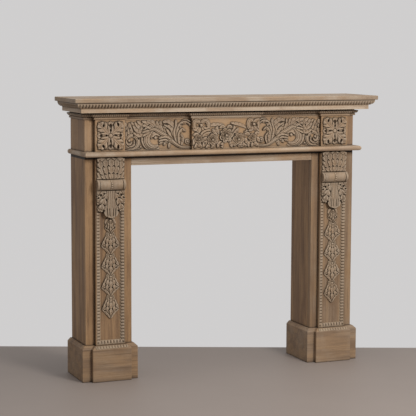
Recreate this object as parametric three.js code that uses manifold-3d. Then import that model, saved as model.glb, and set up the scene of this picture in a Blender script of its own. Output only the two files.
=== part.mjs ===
// A carved oak fireplace mantel: two panelled legs with consoles and husk drops, a carved frieze,
// and a moulded shelf. Millimetres, X across the front, -Y towards the room, Z up.
// The origin is the centre of the overall box at floor level.
import * as THREE from "three";
import { mergeVertices } from "three/addons/utils/BufferGeometryUtils.js";
import Module from "manifold-3d";

const wasm = await Module();
wasm.setup();

// Shelf
const shelfSide = 70; // beyond each side of the body
const shelfThick = 18;
const shelfFront = 102; // ahead of the face of the legs
const shelfEase = 2; // worn edge of the shelf
// The box of boards behind all mouldings
const bodyWidth = 1260;
const bodyDepth = 198; // from the wall to the face of the legs
const boardThick = 22;
const fitGap = 0.3; // between pieces that touch
// Legs and opening
const legWidth = 205;
const legHeight = 955;
const headerHeight = 41;
const outerMargin = 40; // flat leg face outside the pilaster
const pilasterWidth = 130;
const pilasterThick = 20;
const fieldDepth = 8;
const fieldBorder = 9; // flat rim round the bead
const beadWidth = 13;
// Plinth
const plinthHeight = 141;
const plinthThick = 21;
const plinthChamfer = 13;
// Necking between the legs and the frieze
const neckHeight = 21;
const neckNose = 14.5;
const neckAdvance = 43.5; // straight front of the necking stands this far ahead of the legs
// Frieze
const friezeHeight = 134;
const blockThick = 22;
const tabletWidth = 314;
const panelThick = 4;
const carvingDepth = 10;
const carvingSink = 2; // carved forms reach this far into their board
const carvedRim = 3; // plain edge round the carved field
// Bed moulding
const capHeight = 10;
const capReach = 5;
const ovoloHeight = 20;
const ovoloReach = 20;
// Corona and carved crown ovolo, on the front and on the sides
const coronaHeight = 16;
const coronaReach = 37;
const crownHeight = 26;
const crownReach = 21; // beyond the corona
const crownAdvance = 38; // straight front of both stands this far ahead of the legs
// Console and husk drop, all measured down or up the pilaster
const consoleHeight = 260;
const consoleWidth = 122;
const rollCentre = 140; // above the tip of the console
const rollRadius = 24;
const rollRing = 2; // end rings stand this far beyond the roll
const ringWidth = 7;
const fieldUnderConsole = 72; // the sunk field runs this far up behind the console's leaf
const huskHeights = [64, 90, 88, 90, 95];
const huskWidths = [44, 80, 80, 80, 74];
const huskDepth = 10;

// Places that follow from the sizes
const bodyHalf = bodyWidth / 2;
const wallFace = (bodyDepth + shelfFront) / 2;
const legFace = wallFace - bodyDepth;
const friezeBottom = legHeight + neckHeight;
const bedBottom = friezeBottom + friezeHeight;
const bedTop = bedBottom + capHeight + ovoloHeight;
const crownBottom = bedTop + coronaHeight;
const shelfBottom = crownBottom + crownHeight;
const blockOuter = bodyHalf - outerMargin;
const blockInner = blockOuter - pilasterWidth;
const tabletHalf = tabletWidth / 2;
const legInner = bodyHalf - legWidth;
const mitreGap = fitGap * 1.5; // along the front, for a clear fitGap across the mitre

const oak = new THREE.MeshStandardMaterial({ color: 0x9a7d5c, roughness: 0.75, metalness: 0 });

// A closed faceted body, turned so that its faces look outwards.
function body(points, triangles) {
  const cross = new THREE.Vector3();
  let volume = 0;
  for (const [a, b, c] of triangles) {
    volume += points[a].dot(cross.crossVectors(points[b], points[c]));
  }
  const ordered = triangles.flatMap(([a, b, c]) => (volume < 0 ? [a, c, b] : [a, b, c]));
  const vertProperties = new Float32Array(points.flatMap((p) => p.toArray()));
  return new wasm.Manifold(
    new wasm.Mesh({ numProp: 3, vertProperties, triVerts: new Uint32Array(ordered) }),
  );
}

// A skin over rings of equally many points, closed at both ends as the flat outline says.
function skin(rings, outline) {
  const count = outline.length;
  const last = (rings.length - 1) * count;
  const contour = outline.map(([a, b]) => new THREE.Vector2(a, b));
  const turn = Math.sign(THREE.ShapeUtils.area(contour));
  const triangles = [];
  for (const [a, b, c] of THREE.ShapeUtils.triangulateShape(contour, [])) {
    const area = THREE.ShapeUtils.area([contour[a], contour[b], contour[c]]);
    const [d, e] = Math.sign(area) === turn ? [b, c] : [c, b];
    triangles.push([a, e, d], [last + a, last + d, last + e]);
  }
  for (let i = 0; i < last; i += count) {
    for (let j = 0; j < count; j++) {
      const a = i + j;
      const b = i + ((j + 1) % count);
      triangles.push([a, b, b + count], [a, b + count, a + count]);
    }
  }
  return body(rings.flat(), triangles);
}

// A moulding of a [reach, height] profile run along corners [x, y, dx, dy]: reach is measured
// from (x, y) along (dx, dy), so mitres and breaks come out of the same list.
function moulding(profile, corners) {
  const rings = corners.map(([x, y, dx, dy]) =>
    profile.map(([reach, z]) => new THREE.Vector3(x + dx * reach, y + dy * reach, z)),
  );
  return skin(rings, profile);
}

function box(xLow, xHigh, yLow, yHigh, zLow, zHigh) {
  const geometry = new THREE.BoxGeometry(xHigh - xLow, yHigh - yLow, zHigh - zLow);
  geometry.translate((xLow + xHigh) / 2, (yLow + yHigh) / 2, (zLow + zHigh) / 2);
  geometry.deleteAttribute("normal");
  geometry.deleteAttribute("uv");
  const merged = mergeVertices(geometry);
  return new wasm.Manifold(
    new wasm.Mesh({
      numProp: 3,
      vertProperties: merged.attributes.position.array,
      triVerts: new Uint32Array(merged.index.array),
    }),
  );
}

function join(bodies) {
  return wasm.Manifold.union(bodies);
}

function mesh(name, solid, position = [0, 0, 0]) {
  const made = solid.getMesh();
  const geometry = new THREE.BufferGeometry();
  geometry.setAttribute("position", new THREE.BufferAttribute(made.vertProperties, 3));
  geometry.setIndex(new THREE.BufferAttribute(made.triVerts, 1));
  const flat = geometry.toNonIndexed();
  flat.computeVertexNormals();
  const node = new THREE.Mesh(flat, oak);
  node.name = name;
  node.position.set(...position);
  return node;
}

// Carved forms are drawn on a panel: u to the right, v up, n out of it towards the room.
const onPanel = (u, v, n) => new THREE.Vector3(u, -n, v);

// A carved ridge along [u, v, half width, height] stations. Its flat back lies `sink` into the panel.
function ridge(stations, steps = 3, sink = carvingSink) {
  const curve = new THREE.CatmullRomCurve3(stations.map(([u, v]) => new THREE.Vector3(u, v, 0)));
  const rings = [];
  for (let i = 0; i <= steps; i++) {
    const place = (i / steps) * (stations.length - 1);
    const from = stations[Math.min(Math.floor(place), stations.length - 2)];
    const to = stations[stations.indexOf(from) + 1];
    const share = place - stations.indexOf(from);
    const half = from[2] + (to[2] - from[2]) * share;
    const height = from[3] + (to[3] - from[3]) * share;
    const p = curve.getPoint(i / steps);
    const d = curve.getTangent(i / steps);
    rings.push([
      onPanel(p.x - d.y * half, p.y + d.x * half, -sink),
      onPanel(p.x + d.y * half, p.y - d.x * half, -sink),
      onPanel(p.x, p.y, height),
    ]);
  }
  return skin(rings, [[-1, 0], [1, 0], [0, 1]]);
}

// A low dome: a boss, a bead or the heart of a rose.
function dome(u, v, radius, height, sides = 8, sink = carvingSink) {
  const points = [onPanel(u, v, height), onPanel(u, v, -sink)];
  const triangles = [];
  for (let i = 0; i < sides; i++) {
    const angle = (i / sides) * 2 * Math.PI;
    for (const [share, n] of [[0.65, height * 0.75], [1, -sink]]) {
      points.push(
        onPanel(u + radius * share * Math.cos(angle), v + radius * share * Math.sin(angle), n),
      );
    }
    const upper = 2 + 2 * i;
    const next = 2 + 2 * ((i + 1) % sides);
    triangles.push([0, upper, next], [upper, upper + 1, next + 1]);
    triangles.push([upper, next + 1, next], [1, next + 1, upper + 1]);
  }
  return body(points, triangles);
}

// An acanthus leaf from root to tip, bowed to its left by `bow`. It has a raised midrib, and on
// each side lobes of reach `spread` with a crest on each and a notch between them.
function leaf(root, tip, bow, spread, lobes = 3, height = carvingDepth, sink = carvingSink) {
  const start = new THREE.Vector2(...root);
  const along = new THREE.Vector2(...tip).sub(start);
  const left = new THREE.Vector2(-along.y, along.x).normalize();
  const flat = [];
  const points = [];
  const add = (share, aside, n) => {
    const bend = bow * 4 * share * (1 - share) + aside;
    const place = start.clone().addScaledVector(along, share).addScaledVector(left, bend);
    flat.push(place);
    return points.push(onPanel(place.x, place.y, n)) - 1;
  };
  const triangles = [];
  const step = 1 / (lobes + 0.4);
  const spine = [];
  for (let i = 0; i < lobes; i++) {
    spine.push(add(step * i, 0, height * (0.75 + 0.25 * Math.sin(Math.PI * step * i))));
  }
  const end = add(1, 0, height * 0.45);
  spine.push(end);
  const sides = [-1, 1].map((side) => {
    const edge = [];
    for (let i = 0; i < lobes; i++) {
      const reach = side * spread * Math.sin(Math.PI * (0.3 + 0.85 * step * i));
      const notch = add(step * i, reach * (i ? 0.42 : 0.28), height * 0.3);
      const crest = add(step * (i + 0.55), reach * 0.55, height * 0.9);
      const lobe = add(step * (i + 0.95), reach, height * 0.4);
      edge.push(notch, lobe);
      const next = i === lobes - 1 ? end : points.length;
      const around = [spine[i], notch, lobe, ...new Set([next, spine[i + 1]])];
      around.forEach((from, j) => {
        const to = around[(j + 1) % around.length];
        triangles.push(side < 0 ? [crest, from, to] : [crest, to, from]);
      });
    }
    return edge;
  });
  const rim = [spine[0], ...sides[0], end, ...sides[1].reverse()];
  const below = points.length;
  rim.forEach((index) => points.push(points[index].clone().setY(sink)));
  rim.forEach((from, i) => {
    const j = (i + 1) % rim.length;
    triangles.push([rim[j], from, below + i], [rim[j], below + i, below + j]);
  });
  const outline = rim.map((index) => flat[index]);
  const turn = Math.sign(THREE.ShapeUtils.area(outline));
  for (const [i, j, k] of THREE.ShapeUtils.triangulateShape(outline, [])) {
    const area = THREE.ShapeUtils.area([outline[i], outline[j], outline[k]]);
    const [m, n] = Math.sign(area) === turn ? [k, j] : [j, k];
    triangles.push([below + i, below + m, below + n]);
  }
  return body(points, triangles);
}

// A rose: a heart with a whorl of cupped petals round it.
function rose(u, v, radius, height, petals = 5) {
  const forms = [dome(u, v, radius * 0.42, height, 6)];
  for (let i = 0; i < petals; i++) {
    const angle = (i / petals) * 2 * Math.PI + Math.PI / 2;
    const far = radius * 0.58;
    const place = [u + far * Math.cos(angle), v + far * Math.sin(angle)];
    forms.push(dome(...place, radius * 0.44, height * 0.7, 7));
  }
  return forms;
}

// Shelf: a board with eased edges, as a stack of rectangles.
function shelfBoard() {
  const half = bodyHalf + shelfSide;
  const levels = [
    [shelfEase, 0],
    [0, shelfEase],
    [0, shelfThick - shelfEase],
    [shelfEase, shelfThick],
  ];
  const rings = levels.map(([inset, z]) => [
    new THREE.Vector3(-half + inset, legFace - shelfFront + inset, z),
    new THREE.Vector3(half - inset, legFace - shelfFront + inset, z),
    new THREE.Vector3(half - inset, wallFace, z),
    new THREE.Vector3(-half + inset, wallFace, z),
  ]);
  return mesh("shelf_board", skin(rings, [[-1, -1], [1, -1], [1, 1], [-1, 1]]), [0, 0, shelfBottom]);
}

// A straight moulding over the whole front, backed to the frieze, with its two side returns.
// Its profile is measured from the sides of the body and from `advance` ahead of the legs.
function straightMoulding(name, profile, advance) {
  const front = legFace - advance;
  const heights = profile.map(([, z]) => z);
  const backing = box(
    -bodyHalf, bodyHalf, front - fitGap * 2, legFace - fitGap, Math.min(...heights), Math.max(...heights),
  );
  const run = moulding(profile, [[-bodyHalf, front, -1, -1], [bodyHalf, front, 1, -1]]);
  const group = new THREE.Group();
  group.add(mesh(name + "_front", join([run, backing])));
  for (const [side, sign] of [["left", -1], ["right", 1]]) {
    const back = [sign * bodyHalf, wallFace, sign, 0];
    const mitre = [sign * bodyHalf, front + mitreGap, sign, -1];
    group.add(mesh(`${name}_${side}`, moulding(profile, [back, mitre])));
  }
  return group;
}

function crown() {
  const low = crownBottom + fitGap;
  const high = shelfBottom - fitGap;
  const profile = [[fitGap, low], [coronaReach, low]];
  const steps = 6;
  for (let i = 0; i <= steps; i++) {
    const angle = (i / steps) * (Math.PI / 2);
    profile.push([
      coronaReach + crownReach * Math.sin(angle),
      low + 3 + (high - low - 5) * (1 - Math.cos(angle)),
    ]);
  }
  profile.push([coronaReach + crownReach, high], [fitGap, high]);
  return straightMoulding("crown_ovolo", profile, crownAdvance);
}

function corona() {
  const low = bedTop + fitGap;
  const high = crownBottom;
  const profile = [[fitGap, low], [coronaReach, low], [coronaReach, high], [fitGap, high]];
  return straightMoulding("corona", profile, crownAdvance);
}

function necking() {
  const low = legHeight + fitGap;
  const high = friezeBottom;
  const middle = (low + high) / 2;
  const profile = [[fitGap, low]];
  const steps = 8;
  for (let i = 0; i <= steps; i++) {
    const angle = (i / steps - 0.5) * Math.PI;
    profile.push([
      neckNose * (0.35 + 0.65 * Math.cos(angle)),
      middle + ((high - low) / 2) * Math.sin(angle),
    ]);
  }
  profile.push([fitGap, high]);
  return straightMoulding("necking", profile, neckAdvance);
}

// Bed moulding: a cap fillet with an ovolo over it, breaking round the blocks and the tablet.
function bedMoulding() {
  const low = bedBottom + fitGap;
  const capTop = bedBottom + capHeight;
  const profile = [[fitGap, low], [capReach, low], [capReach, capTop]];
  const steps = 5;
  for (let i = 0; i <= steps; i++) {
    const angle = (i / steps) * (Math.PI / 2);
    profile.push([
      capReach + 1 + (ovoloReach - capReach - 1) * Math.sin(angle),
      capTop + 1 + (ovoloHeight - 3) * (1 - Math.cos(angle)),
    ]);
  }
  profile.push([ovoloReach, bedTop], [fitGap, bedTop]);
  const blockFace = legFace - blockThick;
  const half = [
    [bodyHalf, legFace, 1],
    [blockOuter, legFace, 1],
    [blockOuter, blockFace, 1],
    [blockInner, blockFace, -1],
    [blockInner, legFace, -1],
    [tabletHalf, legFace, 1],
    [tabletHalf, blockFace, 1],
  ];
  const leftCorners = half.map(([x, y, dx]) => [-x, y, -dx, -1]);
  const rightCorners = half.map(([x, y, dx]) => [x, y, dx, -1]).reverse();
  const group = new THREE.Group();
  group.add(mesh("bed_mould_front", moulding(profile, [...leftCorners, ...rightCorners])));
  for (const [side, sign] of [["left", -1], ["right", 1]]) {
    const back = [sign * bodyHalf, wallFace, sign, 0];
    const mitre = [sign * bodyHalf, legFace + mitreGap, sign, -1];
    group.add(mesh("bed_mould_" + side, moulding(profile, [back, mitre])));
  }
  return group;
}

function friezeBox() {
  const low = legHeight + fitGap;
  const high = shelfBottom - fitGap;
  const back = legFace + boardThick;
  const group = new THREE.Group();
  group.add(mesh("frieze_board", box(-bodyHalf, bodyHalf, legFace, back, low, high)));
  for (const [side, sign] of [["left", -1], ["right", 1]]) {
    const edges = [sign * bodyHalf, sign * (bodyHalf - boardThick)].sort((a, b) => a - b);
    group.add(mesh("frieze_side_" + side, box(...edges, back + fitGap, wallFace, low, high)));
  }
  return group;
}

// Carved work on the frieze: a board and the forms on its face, which are cut off at the rim of
// the field that shows.
function carved(name, half, thick, height, forms) {
  const board = box(-half, half, 0, thick - fitGap, 0, height);
  const rim = friezeHeight - carvedRim;
  const field = box(carvedRim - half, half - carvedRim, -2 * carvingDepth, carvingSink, carvedRim, rim);
  return mesh(name, join([board, join(forms).intersect(field)]));
}

// Corner block: four acanthus leaves on the diagonals round a boss.
function cornerBlock(side) {
  const half = pilasterWidth / 2;
  const middle = friezeHeight / 2;
  const forms = [dome(0, middle, half * 0.15, carvingDepth)];
  for (const right of [-1, 1]) {
    for (const up of [-1, 1]) {
      const root = [right * half * 0.08, middle + up * half * 0.08];
      const tip = [right * half * 0.9, middle + up * half * 0.9];
      forms.push(leaf(root, tip, 0, half * 0.6, 4));
    }
  }
  const block = carved("corner_block_" + side, half, blockThick, bedTop - friezeBottom - fitGap * 2, forms);
  block.position.set(-(blockOuter + blockInner) / 2, legFace - blockThick, friezeBottom + fitGap);
  return block;
}

// Scroll panel: a stem from the foot of the tablet that rises, arches and winds up at the block.
function scrollPanel(side) {
  const width = blockInner - tabletHalf - fitGap * 2;
  const height = friezeHeight - fitGap * 2;
  const across = (share) => (share - 0.5) * width;
  const at = (u, v) => [across(u), v * height];
  const through = (stations) => stations.map(([u, v, half, n]) => [...at(u, v), half, n * carvingDepth]);
  const eye = [0.145, 0.33];
  const winding = [];
  const turns = 9;
  for (let i = 0; i <= turns; i++) {
    const angle = Math.PI * (0.45 + 0.3 * i);
    const far = 0.12 * (1 - (0.7 * i) / turns);
    winding.push([
      eye[0] + far * Math.cos(angle),
      eye[1] + far * 2.3 * Math.sin(angle),
      8 - (4 * i) / turns,
      1 - (0.3 * i) / turns,
    ]);
  }
  const stem = [
    [0.99, 0.08, 4, 0.5],
    [0.87, 0.1, 5, 0.6],
    [0.77, 0.25, 6, 0.7],
    [0.68, 0.42, 7, 0.8],
    [0.58, 0.58, 8, 0.9],
    [0.47, 0.7, 9, 1],
    [0.34, 0.76, 9, 1],
    [0.22, 0.7, 8, 1],
    ...winding,
  ];
  const crook = [
    [0.5, 0.66, 5, 0.6],
    [0.38, 0.56, 8, 0.9],
    [0.33, 0.36, 8, 1],
    [0.37, 0.17, 7, 0.9],
    [0.46, 0.12, 6, 0.7],
    [0.51, 0.24, 4, 0.6],
  ];
  const forms = [
    ridge(through(stem), 24),
    ridge(through(crook), 8),
    dome(...at(0.93, 0.27), width * 0.033, carvingDepth * 0.8, 8),
    leaf(at(0.63, 0.48), at(0.57, 0.96), width * 0.02, width * 0.12),
    leaf(at(0.77, 0.36), at(0.95, 0.84), width * 0.05, width * 0.12),
    leaf(at(0.7, 0.36), at(0.5, 0.24), -width * 0.02, width * 0.07, 2),
    leaf(at(0.47, 0.7), at(0.2, 0.93), -width * 0.03, width * 0.1),
    leaf(at(0.14, 0.56), at(0.04, 0.86), 0, width * 0.06, 2),
    leaf(at(0.36, 0.46), at(0.46, 0.36), width * 0.02, width * 0.05, 2),
  ];
  const panel = carved("scroll_panel_" + side, width / 2, panelThick, height, forms);
  panel.position.set(-(blockInner + tabletHalf) / 2, legFace - panelThick, friezeBottom + fitGap);
  return panel;
}

// Centre tablet: a rose garland hung between two ribbon knots.
function garlandTablet() {
  const height = friezeHeight - fitGap;
  const at = (u, v) => [u * tabletHalf, v * height];
  const loop = (u, v, far) => {
    const stations = [];
    for (let i = 0; i <= 6; i++) {
      const angle = (i / 6.2) * 2 * Math.PI;
      const [x, z] = at(u, v);
      stations.push([x + far * Math.cos(angle), z + far * 1.3 * Math.sin(angle), 4, carvingDepth * 0.6]);
    }
    return ridge(stations, 7);
  };
  const ribbon = (from, to) =>
    ridge([[...at(...from), 7, 7], [...at(...to), 3.5, 4]], 2);
  const forms = [
    ...rose(...at(0, 0.46), tabletHalf * 0.19, carvingDepth * 1.2),
    ...rose(...at(-0.43, 0.32), tabletHalf * 0.145, carvingDepth),
    ...rose(...at(0.37, 0.35), tabletHalf * 0.15, carvingDepth),
    loop(-0.9, 0.83, tabletHalf * 0.075),
    loop(-0.64, 0.81, tabletHalf * 0.075),
    loop(0.67, 0.83, tabletHalf * 0.07),
    loop(0.86, 0.82, tabletHalf * 0.07),
    ribbon([-0.54, 0.79], [-0.18, 0.83]),
    ribbon([0.56, 0.73], [0.15, 0.88]),
    leaf(at(-0.78, 0.7), at(-0.82, 0.1), 0, tabletHalf * 0.2),
    leaf(at(0.76, 0.7), at(0.76, 0.1), 0, tabletHalf * 0.2),
    leaf(at(-0.56, 0.5), at(-0.26, 0.7), 0, tabletHalf * 0.1, 2),
    leaf(at(0.2, 0.5), at(0.38, 0.74), 0, tabletHalf * 0.1, 2),
    leaf(at(-0.12, 0.34), at(-0.2, 0.06), 0, tabletHalf * 0.09, 2),
    leaf(at(0.1, 0.34), at(0.17, 0.06), 0, tabletHalf * 0.09, 2),
    leaf(at(-0.6, 0.6), at(-0.5, 0.02), 0, tabletHalf * 0.09, 2),
    leaf(at(0.52, 0.6), at(0.56, 0.06), 0, tabletHalf * 0.09, 2),
  ];
  const tall = bedTop - friezeBottom - fitGap * 2;
  const tablet = carved("garland_tablet", tabletHalf - fitGap, blockThick, tall, forms);
  tablet.position.set(0, legFace - blockThick, friezeBottom + fitGap);
  return tablet;
}

function headerBoard() {
  const low = legHeight - headerHeight;
  const half = legInner - fitGap;
  return mesh("header_board", box(-half, half, legFace, legFace + boardThick, low, legHeight - fitGap));
}

// Pilaster board: a sunk field with a half-round bead along its two sides and its foot.
function pilaster(side) {
  const half = pilasterWidth / 2;
  const foot = plinthHeight + plinthChamfer + fieldBorder;
  const head = legHeight - consoleHeight + fieldUnderConsole;
  const wall = half - fieldBorder;
  const board = box(-half, half, 0, pilasterThick - fitGap, 0, legHeight - fitGap);
  const field = box(-wall, wall, -1, fieldDepth, foot, head);
  const profile = [];
  const steps = 6;
  for (let i = 0; i <= steps; i++) {
    const angle = (i / steps) * Math.PI;
    const radius = beadWidth / 2;
    profile.push([radius - radius * Math.cos(angle), 1 - fieldDepth + (radius - 1) * Math.sin(angle)]);
  }
  profile.push([beadWidth, -fieldDepth - 1], [-1, -fieldDepth - 1], [-1, 1 - fieldDepth]);
  const path = [
    [-wall, head + 1, 1, 0],
    [-wall, foot, 1, 1],
    [wall, foot, -1, 1],
    [wall, head + 1, -1, 0],
  ];
  const rings = path.map(([x, z, dx, dz]) =>
    profile.map(([reach, n]) => onPanel(x + dx * reach, z + dz * reach, n)),
  );
  const bead = skin(rings, profile);
  const x = -(blockOuter + blockInner) / 2;
  return mesh("pilaster_" + side, join([board.subtract(field), bead]), [x, legFace - pilasterThick, 0]);
}

// Console: an upright fan leaf, a bolster roll with end rings, and a leaf hanging below it.
function carvedConsole(side) {
  const half = consoleWidth / 2;
  const swell = (stations) => {
    const outline = [[-1, 0], [-0.7, 0.75], [0, 1], [0.7, 0.75], [1, 0]];
    const rings = stations.map(([v, wide, thick]) =>
      outline.map(([u, n]) => onPanel(u * half * wide, v, n * thick)),
    );
    return skin(rings, outline);
  };
  const roll = (from, to, radius) => {
    const outline = [];
    for (let i = 0; i <= 10; i++) {
      const angle = (i / 10 - 0.5) * Math.PI;
      outline.push([radius * Math.cos(angle), rollCentre + radius * Math.sin(angle)]);
    }
    return skin([from, to].map((u) => outline.map(([n, v]) => onPanel(u, v, n))), outline);
  };
  const fanFoot = rollCentre + rollRadius;
  const fanTop = consoleHeight - fitGap;
  const forms = [
    swell([[fanFoot - 6, 0.96, 9], [fanFoot + 34, 1, 9], [fanTop - 14, 1, 12], [fanTop, 0.86, 9]]),
    swell([
      [0, 0.1, 12], [12, 0.32, 20], [34, 0.5, 17], [62, 0.7, 14], [96, 0.92, 11], [122, 0.98, 10],
    ]),
    leaf([0, rollCentre - rollRadius + 6], [0, 8], 0, half - 1, 5, 15, 0),
    roll(-half + ringWidth, half - ringWidth, rollRadius),
    roll(-half, -half + ringWidth, rollRadius + rollRing),
    roll(half - ringWidth, half, rollRadius + rollRing),
    roll(-ringWidth / 3, ringWidth / 3, rollRadius + rollRing),
  ];
  for (let i = -3; i <= 3; i++) {
    const lean = i / 3;
    forms.push(
      ridge([
        [lean * half * 0.35, fanFoot, 4, 11],
        [lean * half * 0.72, fanFoot + 50, 8, 14],
        [lean * half * 0.86, fanTop - 4 - 10 * Math.abs(lean), 3, 15 - 4 * Math.abs(lean)],
      ], 3, 0),
    );
  }
  for (let i = -1; i <= 1; i++) {
    forms.push(
      ridge([
        [i * half * 0.2, rollCentre - rollRadius + 4, 7, 15],
        [i * half * 0.42, 62, 9, 20],
        [i * half * 0.26, 8, 4, 22],
      ], 3, 0),
    );
  }
  const x = -(blockOuter + blockInner) / 2;
  const y = legFace - pilasterThick - fitGap;
  return mesh("console_" + side, join(forms), [x, y, legHeight - consoleHeight]);
}

// Husk drop: bell-shaped husks of five petals, one hanging out of the next.
function huskDrop(side) {
  const total = huskHeights.reduce((sum, height) => sum + height, 0);
  const forms = [ridge([[0, -2, 3, 4], [0, 2 - total, 3, 4]], 1, 0)];
  let top = 0;
  huskHeights.forEach((height, i) => {
    const half = huskWidths[i] / 2;
    forms.push(dome(0, top - height * 0.08, half * 0.16, huskDepth * 0.8, 6, 0));
    forms.push(
      ridge([
        [0, top - height * 0.1, half * 0.16, huskDepth * 0.6],
        [0, top - height * 0.55, half * 0.44, huskDepth],
        [0, top - height, 2, huskDepth * 0.5],
      ], 3, 0),
    );
    for (const sign of [-1, 1]) {
      for (const [reach, drop, tall] of [[0.97, 0.72, 0.8], [0.55, 0.88, 0.9]]) {
        forms.push(
          ridge([
            [sign * half * 0.14, top - height * 0.06, half * 0.14, huskDepth * 0.6],
            [sign * half * reach * 0.52, top - height * drop * 0.55, half * 0.36, huskDepth * tall],
            [sign * half * reach, top - height * drop, 2, huskDepth * 0.4],
          ], 3, 0),
        );
      }
    }
    top -= height;
  });
  const x = -(blockOuter + blockInner) / 2;
  const y = legFace - pilasterThick + fieldDepth - fitGap;
  return mesh("husk_drop_" + side, join(forms), [x, y, legHeight - consoleHeight - 1]);
}

// Plinth: boards mitred round the leg and the pilaster in one run, chamfered at the top.
function plinth(side) {
  const chamferTop = plinthHeight + plinthChamfer;
  const profile = [
    [fitGap, 0],
    [plinthThick, 0],
    [plinthThick, plinthHeight],
    [fitGap + 1, chamferTop],
    [fitGap, chamferTop],
  ];
  const pilasterFace = legFace - pilasterThick;
  const corners = [
    [-bodyHalf, wallFace, -1, 0],
    [-bodyHalf, legFace, -1, -1],
    [-blockOuter, legFace, -1, -1],
    [-blockOuter, pilasterFace, -1, -1],
    [-blockInner, pilasterFace, 1, -1],
    [-blockInner, legFace, 1, -1],
    [-legInner, legFace, 1, -1],
    [-legInner, wallFace, 1, 0],
  ];
  return mesh("plinth_" + side, moulding(profile, corners));
}

// One leg, built on the left and mirrored for the right.
function leg(side) {
  const group = new THREE.Group();
  const top = legHeight - fitGap;
  const back = legFace + boardThick;
  group.add(mesh("leg_front_" + side, box(-bodyHalf, -legInner, legFace, back, 0, top)));
  group.add(
    mesh(
      "leg_outer_side_" + side,
      box(-bodyHalf, -bodyHalf + boardThick, back + fitGap, wallFace, 0, top),
    ),
  );
  group.add(
    mesh(
      "leg_inner_side_" + side,
      box(-legInner - boardThick, -legInner, back + fitGap, wallFace, 0, top),
    ),
  );
  group.add(pilaster(side), carvedConsole(side), huskDrop(side), plinth(side));
  group.add(cornerBlock(side), scrollPanel(side));
  group.scale.x = side === "left" ? 1 : -1;
  return group;
}

const mantel = new THREE.Group();
mantel.name = "fireplace_mantel";
mantel.add(leg("left"), leg("right"), headerBoard(), friezeBox(), garlandTablet());
mantel.add(necking(), bedMoulding(), corona(), crown(), shelfBoard());

export default mantel;
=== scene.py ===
"""The looks of a carved oak fireplace mantel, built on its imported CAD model.

Sizes are in millimetres until a mesh is made. Every carved piece is worked out here from named
sizes: a carving is a sheet of heights over a flat grid, on which leaves, scrolls and flowers are laid.
"""
import math

import bpy
import numpy as np
from mathutils import Matrix, Vector


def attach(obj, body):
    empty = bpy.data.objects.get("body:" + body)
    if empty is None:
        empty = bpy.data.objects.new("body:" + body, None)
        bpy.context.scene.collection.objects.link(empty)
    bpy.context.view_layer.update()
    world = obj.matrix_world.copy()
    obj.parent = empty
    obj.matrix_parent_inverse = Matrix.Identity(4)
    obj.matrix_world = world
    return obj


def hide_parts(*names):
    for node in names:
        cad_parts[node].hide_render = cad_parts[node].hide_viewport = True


MM = 0.001

# Sizes that the CAD model has too
BODY_HALF = 630
WALL_FACE = 150
LEG_FACE = -48
FIT_GAP = 0.3
LEG_HEIGHT = 955
LEG_INNER = 425
PILASTER_HALF = 65
PILASTER_CENTRE = 525
PILASTER_FACE = -68
FIELD_DEPTH = 8
FIELD_BORDER = 4
FIELD_FOOT = 158
FIELD_HEAD = 770
BEAD_WIDTH = 17.5
PLINTH_HEIGHT = 141
PLINTH_THICK = 21
PLINTH_CHAMFER = 13
FRIEZE_BOTTOM = 976
BED_BOTTOM = 1110
BED_TOP = 1140
CROWN_BOTTOM = 1156
SHELF_BOTTOM = 1182
BLOCK_FACE = -70
BLOCK_OUTER = 590
BLOCK_INNER = 460
TABLET_HALF = 157
PANEL_FACE = -52
CONSOLE_FOOT = 695
CONSOLE_HALF = 61
HUSK_HEAD = 694
MITRE_GAP = 0.45
CROWN_STEP = 38

SIDES = ((-1, "left"), (1, "right"))
# Heights between which a painted shadow line begins below the necking
UNDER_NECKING = (LEG_HEIGHT - 13, LEG_HEIGHT - 11)
# How light each kind of board is painted, which paints in the light and shade that fall on it too, brighter
# up high and on the header, darker on the right leg's front; and its share of grey wash
SHADES = {
    "shelf": (0.98, 0.95), "corona": (1.32, 1.15), "necking": (1.18, 0.8), "header": (1.18, 0.7),
    "frieze": (1.15, 0.2), "leg": (1.0, 0.05), "leg_front_right": (0.87, 0.3),
    "plinth_left": (0.85, 0.3), "plinth_right": (0.92, 0.5),
}
# The axis that each plain board's fibres follow
GRAINS = (
    ("x", "shelf_board", "corona_front"), ("y", "corona_left", "corona_right"),
    ("z", "frieze_board", "frieze_side_left", "frieze_side_right"), ("x", "necking_front"),
    ("y", "necking_left", "necking_right"), ("x", "header_board"),
    ("z", "leg_front_left", "leg_front_right", "leg_outer_side_left", "leg_outer_side_right",
     "leg_inner_side_left", "leg_inner_side_right"),
)
GRAIN_TURN = {"x": (0, 0, 0), "y": (0, 0, math.pi / 2), "z": (0, math.pi / 2, 0)}
# Sockets of the node that mixes two colours
MIX_SHARE, MIX_A, MIX_B, MIX_RESULT = 0, 6, 7, 2

WHOLE = (slice(None), slice(None))

rng = np.random.default_rng(7)


def unit(values):
    return np.clip(values, 0, 1)


def look_at_photo():
    """The camera that a fit to the photograph gave."""
    place = (-2.4198, -5.7191, 1.42)
    lens = 123.35
    yaw, pitch, roll = (math.radians(a) for a in (22.48, 6.521, 0.213))
    ahead = Vector((math.sin(yaw) * math.cos(pitch), math.cos(yaw) * math.cos(pitch), -math.sin(pitch)))
    right = Vector((math.cos(yaw), -math.sin(yaw), 0))
    up = right.cross(ahead)
    tilted_right = right * math.cos(roll) + up * math.sin(roll)
    tilted_up = up * math.cos(roll) - right * math.sin(roll)
    data = bpy.data.cameras.new("camera")
    data.sensor_width = 36
    data.lens = lens
    data.clip_end = 100
    camera = bpy.data.objects.new("camera", data)
    turned = Matrix((tilted_right, tilted_up, -ahead)).transposed().to_4x4()
    camera.matrix_world = Matrix.Translation(place) @ turned
    bpy.context.scene.collection.objects.link(camera)
    bpy.context.scene.camera = camera


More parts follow.
